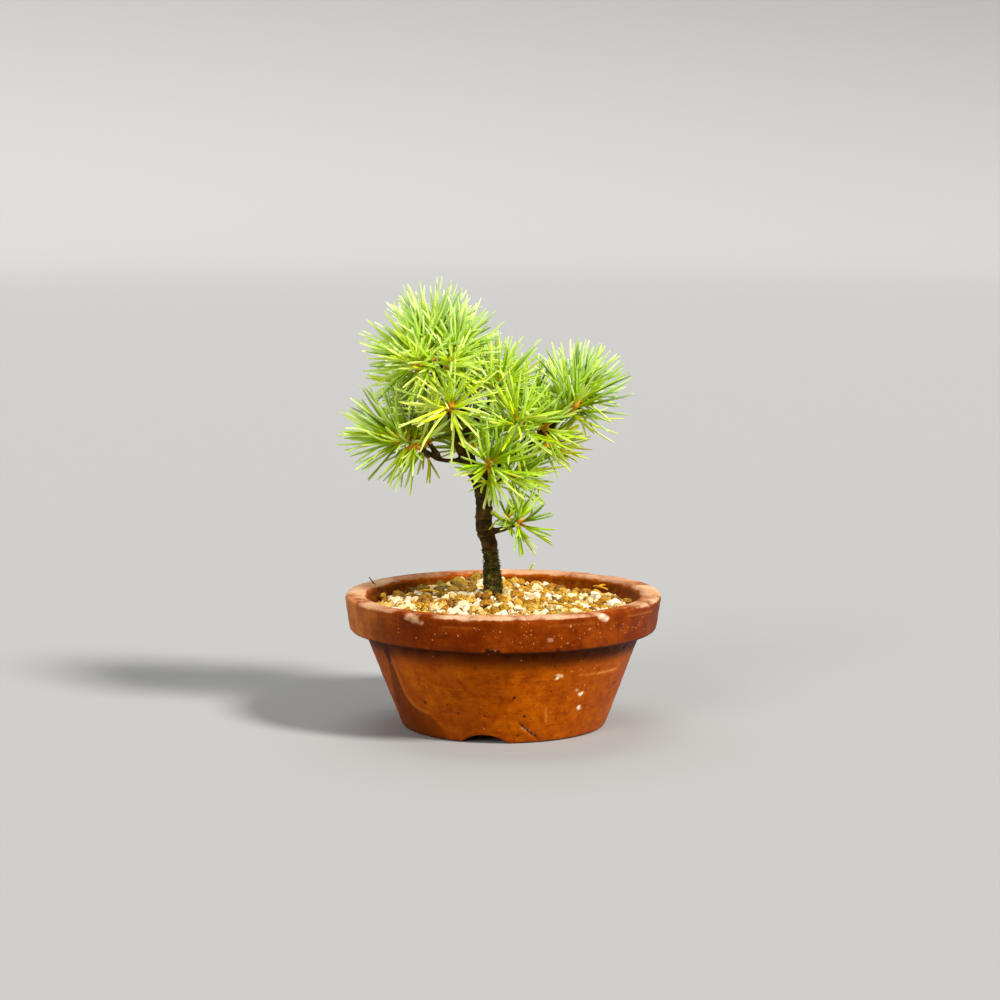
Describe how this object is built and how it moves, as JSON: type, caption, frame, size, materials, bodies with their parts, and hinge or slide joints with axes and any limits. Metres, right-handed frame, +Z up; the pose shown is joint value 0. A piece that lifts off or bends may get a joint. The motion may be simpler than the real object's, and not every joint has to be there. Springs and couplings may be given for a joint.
{
  "type": "bonsai tree in a pot",
  "caption": "Very small five-needle pine trained as a bonsai, standing in coarse grit in a shallow terracotta pot with a banded rim.",
  "frame": {"origin": "middle of the circle that the pot's foot ring stands on, at table level", "axes": "+Z up, along the tree's height; -Y towards the side that the tree is meant to be seen from; +X to the right as seen from there"},
  "size_m": [0.1, 0.1, 0.1393],
  "materials": {
    "terracotta": "unglazed, worn lip, slight sheen",
    "net_plastic": "moulded, matt",
    "grit": "rough fired clay and pumice granules",
    "bark": "rough dark bark with moss at the foot",
    "needles": "living pine needles, waxy"
  },
  "bodies": {
    "root": {"pot": "terracotta", "drain_net": "net_plastic", "soil": "grit", "trunk_and_branches": "bark", "needles_crown_left": "needles", "needles_crown_top": "needles", "needles_crown_right": "needles", "needles_crown_front": "needles", "needles_crown_back": "needles", "needles_crown_low": "needles", "needles_star": "needles", "needles_upper_middle": "needles", "needles_upper_back": "needles", "needles_right_tip": "needles", "needles_right_high": "needles", "needles_middle_front": "needles", "needles_right_low": "needles", "needles_right_back": "needles", "needles_front_low": "needles", "needles_low_right": "needles", "needles_low_twig": "needles", "needles_left_tip": "needles", "needles_left_inner": "needles", "needles_low_back": "needles"}
  },
  "joints": []
}
